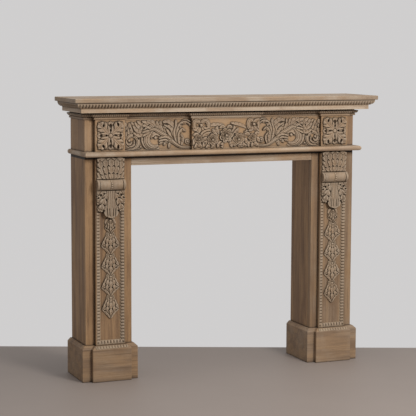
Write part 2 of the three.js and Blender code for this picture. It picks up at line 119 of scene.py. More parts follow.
def area_light(name, place, target, size, power, colour):
    data = bpy.data.lights.new(name, "AREA")
    data.size = size
    data.energy = power
    data.color = colour
    light = bpy.data.objects.new(name, data)
    light.location = place
    light.rotation_euler = (Vector(target) - Vector(place)).to_track_quat("-Z", "Y").to_euler()
    bpy.context.scene.collection.objects.link(light)


def light_the_studio():
    """A pale surround, which the camera sees a little brighter than it shines on the wood, and two lamps."""
    world = bpy.data.worlds.new("studio")
    world.use_nodes = True
    tree = world.node_tree
    ground = tree.nodes["Background"]
    ground.inputs["Color"].default_value = (0.66, 0.65, 0.65, 1)
    seen = tree.nodes.new("ShaderNodeLightPath").outputs["Is Camera Ray"]
    strength = tree.nodes.new("ShaderNodeMapRange")
    strength.inputs["To Min"].default_value = 0.74
    strength.inputs["To Max"].default_value = 0.95
    tree.links.new(seen, strength.inputs["Value"])
    tree.links.new(strength.outputs["Result"], ground.inputs["Strength"])
    bpy.context.scene.world = world
    bpy.context.scene.view_settings.view_transform = "Standard"
    area_light("key", (0.95, -3.4, 2.3), (0.0, 0.0, 0.85), size=1.0, power=88, colour=(1.0, 0.975, 0.94))
    area_light("top", (0.2, -0.6, 3.2), (0.0, 0.0, 1.0), size=1.6, power=22, colour=(1.0, 0.98, 0.96))


class Nodes:
    """Short calls for a material's node tree."""

    def __init__(self, name):
        self.material = bpy.data.materials.new(name)
        self.material.use_nodes = True
        self.tree = self.material.node_tree
        self.shader = self.tree.nodes["Principled BSDF"]

    def put(self, node, socket, value):
        if isinstance(value, bpy.types.NodeSocket):
            self.tree.links.new(value, node.inputs[socket])
        elif value is not None:
            node.inputs[socket].default_value = value

    def add(self, kind, sockets=None, **settings):
        node = self.tree.nodes.new(kind)
        for key, value in settings.items():
            setattr(node, key, value)
        for socket, value in (sockets or {}).items():
            self.put(node, socket, value)
        return node

    def math(self, operation, a, b=None):
        return self.add("ShaderNodeMath", {0: a, 1: b}, operation=operation).outputs[0]

    def times(self, a, b):
        return self.math("MULTIPLY", a, b)

    def noise(self, vector, scale, detail, roughness=0.55, distortion=0.0):
        sockets = {"Vector": vector, "Scale": scale, "Detail": detail, "Roughness": roughness}
        return self.add("ShaderNodeTexNoise", {**sockets, "Distortion": distortion}).outputs["Fac"]

    def between(self, value, low, high, to_low=0.0, to_high=1.0):
        sockets = {"Value": value, "From Min": low, "From Max": high, "To Min": to_low, "To Max": to_high}
        return self.add("ShaderNodeMapRange", sockets, interpolation_type="SMOOTHSTEP").outputs["Result"]

    def mix(self, share, a, b):
        sockets = {MIX_SHARE: share, MIX_A: a, MIX_B: b}
        return self.add("ShaderNodeMix", sockets, data_type="RGBA").outputs[MIX_RESULT]

    def tint(self, colour, over, share, strength):
        """Lays another colour over the first."""
        return self.mix(self.times(share, strength), colour, over)

    def scaled(self, vector, scale, shift=(0, 0, 0), turn=(0, 0, 0)):
        sockets = {"Vector": vector, "Location": shift, "Rotation": turn, "Scale": scale}
        return self.add("ShaderNodeMapping", sockets).outputs["Vector"]

    def attribute(self, name):
        return self.add("ShaderNodeAttribute", attribute_name=name).outputs["Fac"]

    def hollows(self, reach, inside=False):
        sockets = {"Distance": reach}
        return self.add("ShaderNodeAmbientOcclusion", sockets, samples=8, inside=inside).outputs["AO"]


def srgb(red, green, blue):
    """A colour as it looks on a screen, 0 to 255, for a shader."""
    return tuple(((c / 255 + 0.055) / 1.055) ** 2.4 for c in (red, green, blue)) + (1,)


def oak(name, grain, tone, carved, grey, painted_shadow_band=None):
    """Weathered oak. grain is the axis that the fibres follow, tone lightens it, and grey is the share of
    wash. The last argument gives the heights in mm between which a painted shadow line begins under a
    moulding, on the outside. A carved wood reads three values of its mesh: its hollows are painted dark
    as grime and painted shade, its high parts lighter as worn wood and painted highlight, its ground paler."""
    n = Nodes(name)
    place = n.add("ShaderNodeTexCoord").outputs["Object"]
    shift = tuple(rng.uniform(-5, 5, 3))
    along = n.scaled(place, (1, 1, 1), shift, GRAIN_TURN[grain])

    def streaks(length, width, detail, distortion=0.0, roughness=0.55):
        stretched = n.scaled(along, (1 / length, 1 / width, 1 / width))
        return n.noise(stretched, 1.0, detail, roughness, distortion)

    broad = streaks(0.45, 0.035, 3, 0.4)
    lines = streaks(0.30, 0.0065, 4, 0.25, 0.62)
    fibres = streaks(0.05, 0.0012, 3)
    pores = n.between(streaks(0.016, 0.0009, 2), 0.60, 0.70)
    patches = n.noise(n.scaled(place, (1, 1, 1), shift), 7.0, 4, 0.6)

    honey = srgb(166, 131, 93)
    brown = srgb(128, 98, 70)
    dark = srgb(84, 63, 46)
    wash = srgb(168, 152, 133)
    # The darkest colour paints grime and shade alike: in the hollows, the crevices and the shadow lines
    # under mouldings
    dirt_and_shade = srgb(44, 34, 26)
    bare = srgb(178, 142, 102)
    rubbed_and_highlight_tone = srgb(190, 173, 152)
    edge = srgb(190, 168, 140)
    colour = n.mix(n.between(broad, 0.35, 0.65), brown, honey)
    colour = n.mix(n.between(lines, 0.52, 0.72, 0, 0.62), colour, dark)
    colour = n.mix(n.between(fibres, 0.35, 0.7, 0, 0.28), colour, dark)
    washed = n.times(n.between(patches, 0.36, 0.66), n.between(lines, 0.62, 0.36, 0.25, 1))
    colour = n.mix(n.math("ADD", n.times(washed, grey), grey * 0.45), colour, wash)
    colour = n.tint(colour, dark, pores, 0.45)

    # Painted shade: crevices found by ambient occlusion are darkened, together with the grime in them
    wide, close = n.hollows(0.045), n.hollows(0.012)
    if carved:
        crevice_dirt_and_shade = n.math("MAXIMUM", n.between(wide, 0.2, 0.85, 0.8, 0), n.between(close, 0.3, 0.75, 0.8, 0))
        colour = n.tint(colour, bare, n.attribute("ground"), 0.65)
        # Painted highlight: the high parts of the carving are lightened, as worn wood and as highlight
        colour = n.tint(colour, rubbed_and_highlight_tone, n.attribute("rubbed_and_highlit"), 0.6)
        # Painted shade: the carving's hollows are darkened, together with grime
        colour = n.tint(colour, dirt_and_shade, n.attribute("hollow_dirt_and_shade"), 0.8)
    else:
        crevice_dirt_and_shade = n.math("MAXIMUM", n.between(wide, 0.2, 0.62, 0.85, 0), n.between(close, 0.5, 0.84, 1.0, 0))
    worn = n.between(n.hollows(0.004, inside=True), 0.9, 0.45)
    worn = n.times(worn, n.between(patches, 0.35, 0.6, 0.25, 0.8))
    colour = n.tint(colour, edge, worn, 0.55)
    colour = n.tint(colour, dirt_and_shade, crevice_dirt_and_shade, 0.85)
    # A painted shadow line under the moulding above, on the outside faces only
    if painted_shadow_band:
        x, y, z = n.add("ShaderNodeSeparateXYZ", {0: place}).outputs
        front = n.math("LESS_THAN", y, (LEG_FACE + 3) * MM)
        beside = n.math("GREATER_THAN", n.math("ABSOLUTE", x), (BODY_HALF - 0.5) * MM)
        line = n.between(z, painted_shadow_band[0] * MM, painted_shadow_band[1] * MM, 0, 0.97)
        colour = n.tint(colour, dirt_and_shade, line, n.math("MAXIMUM", front, beside))
    lightened = n.add("ShaderNodeHueSaturation", {"Color": colour, "Value": tone})
    n.put(n.shader, "Base Color", lightened.outputs["Color"])

    n.put(n.shader, "Roughness", n.between(fibres, 0.3, 0.7, 0.55, 0.72))
    n.put(n.shader, "Specular IOR Level", 0.35)
    deep = n.math("ADD", n.times(pores, -0.6), n.times(lines, 0.5))
    deep = n.math("ADD", deep, n.times(fibres, 0.35))
    bump = n.add("ShaderNodeBump", {"Strength": 0.5, "Distance": 0.0005, "Height": deep})
    n.put(n.shader, "Normal", bump.outputs["Normal"])
    return n.material


def make(name, points, faces, material, replaces, smooth=35.0, attributes=None):
    """A piece from points in mm, riding on the mantel and standing for CAD nodes."""
    data = bpy.data.meshes.new(name)
    data.from_pydata((np.asarray(points) * MM).tolist(), [], faces)
    data.validate()
    data.polygons.foreach_set("use_smooth", np.ones(len(data.polygons), bool))
    data.set_sharp_from_angle(angle=math.radians(smooth))
    data.materials.append(material)
    for key, values in (attributes or {}).items():
        layer = data.attributes.new(key, "FLOAT", "POINT")
        filled = np.zeros(len(data.vertices), np.float32)
        filled[: len(values)] = values
        layer.data.foreach_set("value", filled)
    piece = bpy.data.objects.new(name, data)
    bpy.context.scene.collection.objects.link(piece)
    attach(piece, "root")
    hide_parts(*replaces)
    return piece


def soften(piece, width):
    """Small worn edges, width in mm."""
    weld = piece.modifiers.new("weld", "WELD")
    weld.merge_threshold = 0.01 * MM
    bevel = piece.modifiers.new("edges", "BEVEL")
    bevel.width = width * MM
    bevel.segments = 2
    bevel.limit_method = "ANGLE"
    bevel.angle_limit = math.radians(40)
    piece.modifiers.new("shading", "WEIGHTED_NORMAL")


def curve(points):
    """44 points spaced evenly along a smooth line through the given ones."""
    p = np.array(points, float)
    ends = np.vstack([2 * p[0] - p[1], p, 2 * p[-1] - p[-2]])
    t = np.linspace(0, 1, 16, endpoint=False)[:, None]
    parts = []
    for a, b, c, d in zip(ends, ends[1:], ends[2:], ends[3:]):
        parts.append(b + 0.5 * t * (c - a + t * (2 * a - 5 * b + 4 * c - d + t * (3 * b - a - 3 * c + d))))
    line = np.vstack(parts + [p[-1:]])
    run = np.r_[0, np.cumsum(np.hypot(*np.diff(line, axis=0).T))]
    even = np.linspace(0, run[-1], 44)
    return np.c_[np.interp(even, run, line[:, 0]), np.interp(even, run, line[:, 1])]


def spiral(centre, radii, start, turn, count):
    """Points of a volute: radii from its first to its last, turn in degrees, left turns positive."""
    share = np.linspace(0, 1, count)
    angle = np.radians(start + turn * share)
    radius = np.interp(share, np.linspace(0, 1, len(radii)), radii)
    return list(zip(centre[0] + radius * np.cos(angle), centre[1] + radius * np.sin(angle)))


def blur(heights, cells):
    """The mean over a square of cells round each point, twice."""
    for _ in range(2):
        for axis in (0, 1):
            pad = [(0, 0), (0, 0)]
            pad[axis] = (cells + 1, cells)
            run = np.cumsum(np.pad(heights, pad, mode="edge"), axis=axis)
            size = heights.shape[axis]
            high = np.take(run, range(2 * cells + 1, 2 * cells + 1 + size), axis=axis)
            low = np.take(run, range(size), axis=axis)
            heights = (high - low) / (2 * cells + 1)
    return heights


class Carving:
    """Heights over a flat grid, u to the right and v up, on which forms are laid one over another.
    deep is the cut line round each form, and the last argument how darkly the hollows are painted, as
    grime and as painted shade."""

    def __init__(self, u_low, u_high, v_low, v_high, step, deep=3.6, dirt_and_shade=1.0):
        self.step = step
        self.deep = deep
        self.dirt_and_shade = dirt_and_shade
        self.us = np.linspace(u_low, u_high, int(round((u_high - u_low) / step)) + 1)
        self.vs = np.linspace(v_low, v_high, int(round((v_high - v_low) / step)) + 1)
        self.u, self.v = np.meshgrid(self.us, self.vs)
        self.h = np.zeros_like(self.u)
        self.inside = np.full_like(self.u, -99.0)
        self.drilled = np.zeros_like(self.u)

    def window(self, low, high):
        columns = slice(*np.searchsorted(self.us, [low[0], high[0]]))
        rows = slice(*np.searchsorted(self.vs, [low[1], high[1]]))
        return rows, columns

    def around(self, u, v, reach):
        return self.window((u - reach, v - reach), (u + reach, v + reach))

    def beside(self, line, reach):
        """For the points near a line: share of the way along it, and distance to its left."""
        win = self.window(line.min(0) - reach, line.max(0) + reach)
        u, v = self.u[win][..., None], self.v[win][..., None]
        start, step = line[:-1], np.diff(line, axis=0)
        share = ((u - start[:, 0]) * step[:, 0] + (v - start[:, 1]) * step[:, 1]) / (step**2).sum(1)
        share = unit(share)
        du = u - start[:, 0] - share * step[:, 0]
        dv = v - start[:, 1] - share * step[:, 1]
        nearest = (du**2 + dv**2).argmin(-1)[..., None]
        pick = lambda values: np.take_along_axis(values, nearest, -1)[..., 0]
        along = (nearest[..., 0] + pick(share)) / len(step)
        side = np.sign(pick(dv * step[:, 0] - du * step[:, 1]))
        return win, along, side * np.hypot(pick(du), pick(dv))

    def lay(self, win, height, inside, line=2.2, deep=None):
        """Lays a form over what is there, with a cut line round it."""
        deep = self.deep if deep is None else deep
        under = self.h[win]
        cut = np.maximum(under - deep * unit(1 + inside / line), np.minimum(under, 0.4))
        over = np.maximum(height, 0.25 * under + 0.82 * height)
        self.h[win] = np.where(inside > 0, over, cut)
        self.inside[win] = np.maximum(self.inside[win], inside)

    def band(self, points, widths, height, flutes):
        """A stem or scroll: widths are half-widths from start to end, flutes run along it."""
        line = curve(points)
        win, s, t = self.beside(line, max(widths) + 3)
        wide = np.interp(s, np.linspace(0, 1, len(widths)), widths)
        x = np.abs(t) / wide
        rise = 0.3 + 0.7 * np.sqrt(unit(1 - x**2))
        rise *= 0.66 + 0.34 * np.abs(np.cos(np.pi * flutes * (t / wide + 1) / 2)) ** 0.7
        tall = height * np.clip(wide / max(widths), 0.45, 1)
        self.lay(win, tall * rise, wide - np.abs(t))

    def finger(self, points, wide, height, lean=0.4):
        """One side of an acanthus leaf: a blade whose crest leans to its left, or to its right when lean
        is negative, with lobes along its other edge and a rounded tip."""
        line = curve(points)
        length = np.hypot(*np.diff(line, axis=0).T).sum()
        win, s, t = self.beside(line, wide + 3)
        t = -t if lean < 0 else t
        lean = abs(lean)
        half = wide * np.interp(s, np.linspace(0, 1, 6), [0.5, 0.85, 1.0, 1.0, 0.85, 0.5])
        x = t / half
        steep = np.where(x > lean, (x - lean) / (1 - lean), 0)
        gentle = np.where(x > lean, 0, (lean - x) / (1 + lean))
        count = max(2, round(length / 18))
        part = (s * count - 0.75 * gentle * (1 - 0.3 * gentle) * wide * count / length) % 1
        lobe = np.sin(np.pi * part) ** 0.6
        share = np.clip(wide / 9, 0.3, 1)
        edge = half * np.where(x < 0, 1 - 0.3 * share * (1 - lobe), 1)
        rise = np.sqrt(unit(1 - steep**2)) - 0.5 * unit(gentle) ** 1.2
        rise *= 1 - 0.5 * share * (1 - lobe) * unit(gentle * 1.6)
        rise *= 1 - 0.05 * np.cos(4 * np.pi * part) * unit(gentle * 2)
        tall = height * (0.66 + 0.34 * s) * np.clip(rise, 0.22, 1)
        self.lay(win, tall, edge - np.abs(t))

    def leaf(self, points, widths, height, lobes, sweep, cut, eye, sides=(1, 1)):
        """An acanthus leaf along a midrib: round lobes that lean to the tip, grooves and drilled eyes
        between them, and a cupped face. sides scale the half-widths to its left and right."""
        line = curve(points)
        length = np.hypot(*np.diff(line, axis=0).T).sum()
        win, s, t = self.beside(line, max(widths) * max(sides) + 3)
        wide = np.interp(s, np.linspace(0, 1, len(widths)), widths) * np.where(t > 0, sides[0], sides[1])
        wide *= np.clip((1.02 - s) / 0.1, 0.25, 1)
        x = np.abs(t)
        phase = (s - sweep * x / length * (0.6 + 0.4 * x / max(widths))) * lobes + 0.25
        part = phase % 1
        lobe = np.sin(np.pi * part**0.8) ** 0.55
        vein = np.cos(2 * np.pi * (part - 0.5) * 2.5)
        edge = wide * (1 - cut * (1 - lobe) - 0.03 * (1 - vein))
        r = unit(x / np.maximum(edge, 0.1))
        face = 0.55 + 0.45 * np.sin(np.pi / 2 * unit(r / 0.62)) - 0.45 * unit((r - 0.7) / 0.3) ** 2
        groove = 1 - 0.55 * (1 - lobe) * unit(r * 1.8)
        ripple = 1 + 0.07 * vein * unit(r * 1.5)
        rib = 0.32 * np.exp(-((x / (0.9 + 0.03 * length * (1 - s))) ** 2)) * unit((1 - s) * 6)
        swell = 0.78 + 0.3 * np.sin(np.pi * unit(s) ** 1.4)
        tall = height * swell * (face * groove * ripple + rib)
        if eye:
            gap = (phase - np.round(phase)) * length / lobes
            out = (x - 0.86 * (1 - cut) * wide) * 0.55
            spot = np.exp(-((gap**2 + out**2) / eye**2) ** 1.5) * ((s > 0.1) & (s < 0.92) & (wide > 6))
            tall = tall * (1 - 0.85 * spot)
            self.drilled[win] = np.where(edge - x > 0, spot, self.drilled[win])
        self.lay(win, tall, edge - x)

    def ball(self, u, v, radius, height):
        win = self.around(u, v, radius + 3)
        r = np.hypot(self.u[win] - u, self.v[win] - v)
        tall = height * (0.3 + 0.7 * np.sqrt(unit(1 - (r / radius) ** 2)))
        self.lay(win, tall, radius - r)

    def drill(self, u, v, radius, deep, stretch, turn):
        """A drilled eye or slot, stretched along the turned axis, which is painted dark as grime and painted
        shade.
        """
        win = self.around(u, v, radius * max(stretch, 1) * 2 + 1)
        a = math.radians(turn)
        du, dv = self.u[win] - u, self.v[win] - v
        x = (du * math.cos(a) + dv * math.sin(a)) / stretch
        y = dv * math.cos(a) - du * math.sin(a)
        spot = np.exp(-(((x**2 + y**2) / radius**2) ** 2))
        self.h[win] = self.h[win] * (1 - spot) - deep * spot
        self.drilled[win] = np.maximum(self.drilled[win], spot)

    def drills(self, deep, *eyes):
        for u, v, radius, stretch, turn in eyes:
            self.drill(u, v, radius, deep, stretch, turn)

    def rose(self, u, v, radius, height, petals, turn):
        """A flower of three rings of cupped petals round a bud."""
        win = self.around(u, v, radius + 3)
        du, dv = self.u[win] - u, self.v[win] - v
        r, a = np.hypot(du, dv) / radius, np.arctan2(dv, du)
        tall = np.zeros_like(r)
        rings = ((1.0, 0.6, petals), (0.78, 0.78, petals), (0.56, 0.92, petals - 1), (0.34, 1.0, 3))
        for i, (size, low, count) in enumerate(rings):
            wave = np.abs(np.cos(count * (a + turn + 0.7 * i) / 2))
            edge = size * (0.76 + 0.24 * wave**0.6)
            if i == 0:
                outline = (edge - r) * radius
            x = r / edge
            cup = low * (0.5 + 0.5 * x**3 - 0.25 * (1 - wave) ** 2)
            tall = np.where(x < 1, cup, tall)
        tall = np.where(r < 0.15, 0.95, tall)
        self.lay(win, height * tall, outline)

    def wear_and_shade(self):
        """How far each point lies below or above what is round it, for painting: the low points dark as
        grime and painted shade, the high points light as worn wood and painted highlight.
        """
        fine = blur(self.h, max(1, round(1.6 / self.step)))
        wide = blur(self.h, max(2, round(4.5 / self.step)))
        hollow_dirt_and_shade = unit((fine - self.h) / 1.3) * 0.7 + unit((wide - self.h) / 4.0) * 0.6
        hollow_dirt_and_shade = unit(np.maximum(hollow_dirt_and_shade * self.dirt_and_shade, self.drilled))
        rubbed_and_highlit = unit((self.h - fine) / 0.8) * 0.6 + unit((self.h - wide) / 3.0) * 0.5
        ground = unit(-self.inside / 2.5)
        return {"hollow_dirt_and_shade": hollow_dirt_and_shade, "rubbed_and_highlit": unit(rubbed_and_highlit), "ground": ground}

    def squares(self):
        """The grid's points by number, and the four round each of its squares."""
        i = np.arange(self.h.size).reshape(self.h.shape)
        return i, np.stack([i[:-1, :-1], i[:-1, 1:], i[1:, 1:], i[1:, :-1]], -1)

    def slab(self, place, deep):
        """The carving as the front of a board that is deep mm thick behind the ground."""
        top = place(self.u.ravel(), self.v.ravel(), self.h.ravel())
        i, quads = self.squares()
        faces = quads.reshape(-1, 4).tolist()
        rim = np.concatenate([i[0, :-1], i[:-1, -1], i[-1, :0:-1], i[:0:-1, 0]])
        back = place(self.u.ravel()[rim], self.v.ravel()[rim], np.full(len(rim), -deep))
        low = i.size + np.arange(len(rim))
        for a, b, c, d in zip(rim, np.roll(rim, -1), np.roll(low, -1), low):
            faces.append([int(a), int(d), int(c), int(b)])
        faces.append([int(k) for k in low])
        return np.vstack([top, back]), faces, {k: w.ravel() for k, w in self.wear_and_shade().items()}

    def island(self, place):
        """Only what the forms cover, with walls down to the board behind."""
        cell = self.inside > 0
        cell = cell[:-1, :-1] & cell[:-1, 1:] & cell[1:, 1:] & cell[1:, :-1]
        for _ in range(2):
            near = np.pad(cell, 1).astype(int)
            sides = near[:-2, 1:-1] + near[2:, 1:-1] + near[1:-1, :-2] + near[1:-1, 2:]
            cell = cell & (sides >= 2)
        used, packed = np.unique(self.squares()[1][cell], return_inverse=True)
        quads = packed.reshape(-1, 4)
        edges = np.concatenate([quads[:, [k, (k + 1) % 4]] for k in range(4)])
        keys = {(a, b) for a, b in edges.tolist()}
        open_edges = [(a, b) for a, b in keys if (b, a) not in keys]
        u, v, h, inside = (grid.ravel()[used] for grid in (self.u, self.v, self.h, self.inside))
        # the rim's points move out along the slope to where the form really ends
        rim = sorted({k for edge in open_edges for k in edge})
        gv, gu = (slope.ravel()[used][rim] for slope in np.gradient(self.inside, self.step))
        steep = np.maximum(gu**2 + gv**2, 0.3)
        move, most = np.clip(inside[rim] / steep, 0, self.step), 0.45 * self.step
        u[rim] -= np.clip(move * gu, -most, most)
        v[rim] -= np.clip(move * gv, -most, most)
        low = {k: len(used) + j for j, k in enumerate(rim)}
        faces = quads.tolist()
        for a, b in open_edges:
            faces.append([a, low[a], low[b], b])
        top = place(u, v, np.maximum(h, 0.6))
        back = place(u[rim], v[rim], np.zeros(len(rim)))
        wear_and_shade = {key: values.ravel()[used] for key, values in self.wear_and_shade().items()}
        return np.vstack([top, back]), faces, wear_and_shade


def on_panel(side, centre, foot, face):
    """Places a carving of the left half, or its mirror on the right, in front of an upright face."""
    return lambda u, v, n: np.c_[side * (centre - u), face - n, foot + v]


def mirrored(points, side):
    return [(side * u, v) for u, v in points]


def rounded(run, pitch, power):
    """A row of beads along the run: 1 at the middle of each and 0 between them."""
    near = np.abs(run / pitch % 1 * 2 - 1)
    return np.sqrt(unit(1 - near**power))


def acanthus_rosette():
    """The corner block: four leaves on the diagonals, with drilled eyes between them."""
    half, high, mid = PILASTER_HALF - FIT_GAP, 163.4, 67.0
    c = Carving(-half, half, FIT_GAP, high, 0.85)
    across, up = np.abs(c.u), np.abs(c.v - mid)
    edge = np.minimum(57 - across, 59 - up)
    edge -= 1.8 * np.abs(np.sin(c.u / 8.2)) + 1.8 * np.abs(np.sin((c.v - mid) / 8.2))
    c.lay(WHOLE, np.where(edge > -2, 4.0, 0), edge, 1, 0)
    # small leaves on the axes first, then the four great ones on the diagonals
    for first, reaches, widths, height, lean, cut, eye in (
        (0, ((8, 8), (30, 30), (58, 60)), [5, 12, 14, 10], 7, 1.0, 0.35, 0),
        (45, ((9, 9), (40, 41), (74, 76)), [9, 22, 27, 25, 10], 10.5, 0.8, 0.34, 2.2),
    ):
        for a in range(first, 360, 90):
            ca, sa = math.cos(math.radians(a)), math.sin(math.radians(a))
            points = [(ca * u, mid + sa * v) for u, v in reaches]
            c.leaf(points, widths, height, 3, lean, cut, eye)
    c.ball(0, mid, 9.5, 11)
    for u, v, r, stretch, turn in (
        (0, 41, 5.6, 1.3, 90), (-41, 0, 5.8, 1, 0), (44, 0, 5.8, 1, 0), (0, -44, 5.4, 1.3, 90),
        (0, 22, 3.2, 1.4, 90), (-18, 1, 3.4, 1.2, 90), (23, 2, 2.6, 2.6, -14), (0, -22, 2.6, 2.0, 90),
        (-31, 42, 3.8, 1.5, 80), (-32, -44, 4.4, 1.5, -60), (33, 46, 3.8, 1.7, 100), (33, -48, 4.2, 1.9, 95),
    ):
        c.drill(u, mid + v, r, 3, stretch, turn)
    flat = unit(np.minimum(59 - across, 61 - up) / 1.5)
    c.h *= flat
    c.inside[flat <= 0] = -9
    return c


def scroll():
    """The left frieze panel: a stem from the tablet that arches up to two volutes by the block."""
    wide, high = 302.3, 133.4
    c = Carving(FIT_GAP, wide, FIT_GAP, high, 0.8)
    blade = c.finger
    # volute by the block, with the leaves that stand behind it
    blade([(50, 62), (54, 84), (48, 100), (34, 116)], 12, 6.5, -0.4)
    blade([(40, 60), (34, 78), (28, 94), (24, 114)], 10, 7, -0.4)
    blade([(30, 58), (20, 76), (10, 94), (6, 116)], 10, 7.5)
    blade([(78, 12), (50, 5), (22, 8), (7, 24), (3, 50), (9, 78), (8, 96)], 9.5, 8, -0.4)
    c.band(spiral((33, 38), (35, 31, 27, 20, 14), 245, 400, 24), [4, 8, 9, 8, 6, 4], 10, 2)
    blade([(20, 20), (34, 18), (46, 28), (44, 44)], 5, 8.5, -0.4)
    blade([(10, 44), (14, 30), (26, 27), (34, 36)], 5.5, 9.5, -0.4)
    c.ball(23, 43, 6, 8)
    c.ball(74, 15, 5, 7)
    # volute in the middle, open to the right
    blade([(156, 8), (122, 5), (98, 15), (84, 36), (80, 58)], 8.5, 7.5)
    c.band(spiral((139, 46), (28, 34, 38, 36, 30), 92, 200, 18), [5, 11, 14, 14, 11, 5], 10, 3)
    blade([(160, 62), (146, 70), (132, 66), (124, 52)], 9, 9.5, 0.3)
    c.ball(141, 53, 7, 9)
    # great leaf that crowns the arch and falls to the first volute
    blade([(144, 92), (140, 106), (128, 118), (106, 124)], 10, 7)
    blade([(136, 90), (122, 106), (106, 115), (84, 122)], 10, 7.5, 0.45)
    blade([(108, 84), (86, 96), (78, 108), (62, 122)], 10, 7.5, 0.45)
    blade([(104, 80), (80, 86), (66, 98), (50, 116)], 10, 8, 0.45)
    blade([(100, 76), (76, 76), (58, 84), (42, 102)], 10, 8.5, 0.45)
    blade([(104, 74), (82, 66), (64, 64), (44, 74)], 9, 9, 0.45)
    blade([(132, 88), (116, 100), (100, 105), (84, 104)], 8.5, 9, 0.45)
    blade([(128, 86), (110, 97), (98, 95), (88, 88)], 7, 10, 0.45)
    blade([(118, 84), (104, 82), (92, 80), (82, 76)], 6, 10)
    blade([(116, 78), (104, 72), (94, 67), (83, 61)], 6, 10)
    # leaf that hangs below the stem
    blade([(206, 36), (206, 26), (202, 10)], 8, 7.5, -0.4)
    blade([(200, 42), (188, 34), (180, 22)], 8, 8, -0.4)
    blade([(190, 44), (172, 36), (160, 26)], 7.5, 8.5, -0.4)
    blade([(214, 30), (198, 42), (178, 45), (157, 38)], 6.5, 9.5, 0.3)
    # leaf above the stem, in the middle
    blade([(198, 58), (166, 74), (154, 94), (148, 120)], 10, 7.5, -0.4)
    blade([(206, 56), (180, 72), (166, 92), (164, 120)], 10, 8, -0.4)
    blade([(226, 62), (224, 88), (216, 108), (196, 122), (178, 118)], 11, 8)
    blade([(214, 58), (196, 74), (184, 92), (182, 108)], 9.5, 9, -0.4)
    blade([(220, 60), (216, 84), (202, 98), (182, 106)], 8.5, 10.5)
    blade([(214, 56), (206, 66), (200, 76), (190, 88)], 7.5, 11)
    # leaf above the stem, by the tablet
    blade([(250, 96), (262, 114), (278, 124), (298, 118)], 9, 7.5)
    blade([(246, 20), (236, 46), (230, 74), (236, 98), (233, 122)], 10.5, 9, 0.45)
    blade([(248, 18), (245, 50), (243, 80), (254, 106), (276, 116), (298, 106)], 10, 10)
    blade([(250, 18), (248, 48), (250, 72), (262, 86), (276, 78)], 8, 11)
    blade([(256, 14), (264, 34), (264, 50), (254, 66)], 6, 11, -0.4)
    # stem and its branch
    stem = [(302, 9), (262, 10), (240, 20), (218, 36), (200, 52), (178, 66), (156, 78), (138, 88), (118, 87)]
    c.band(stem, [4, 5, 6.5, 7.5, 8.5, 9, 8, 4], 11.5, 2)
    blade([(212, 44), (194, 55), (176, 56), (157, 50)], 6.5, 11, 0.3)
    c.ball(286, 34, 12.5, 8)
    c.ball(287, 34, 6, 9.5)
    c.drills(
        1.5,
        (52, 36, 3.2, 2.2, 82), (64, 50, 2.6, 2.0, -30), (12, 85, 3, 1.4, 90), (26, 93, 2.6, 1.3, 0),
        (42, 63, 3, 1.3, 0), (129, 52, 3.6, 1.3, 0), (150, 48, 3, 1.6, 0), (104, 90, 2.4, 2.4, 8),
        (112, 107, 2.4, 3.2, 32), (90, 95, 2.6, 1.8, 60), (72, 95, 2.2, 1.6, 90), (171, 107, 2.8, 1.8, 90),
        (191, 109, 3, 2.4, -8), (262, 108, 2.6, 3.2, -4), (286, 108, 2.8, 2.4, -28), (249, 96, 2.2, 1.6, 0),
        (178, 36, 2.4, 2.2, -20), (190, 29, 2.2, 1.5, -40), (198, 27, 2.2, 1.6, 90), (270, 74, 2.6, 1.6, 60),
    )
    ground_fillets(c, high)
    return c


def ground_fillets(c, high):
    """Plain strips along the top and bottom of a frieze panel."""
    strip = unit((5.0 - c.v) / 0.8) + unit((c.v - (high - 4.5)) / 0.8)
    c.h = np.maximum(c.h * (1 - strip), 2.2 * strip)


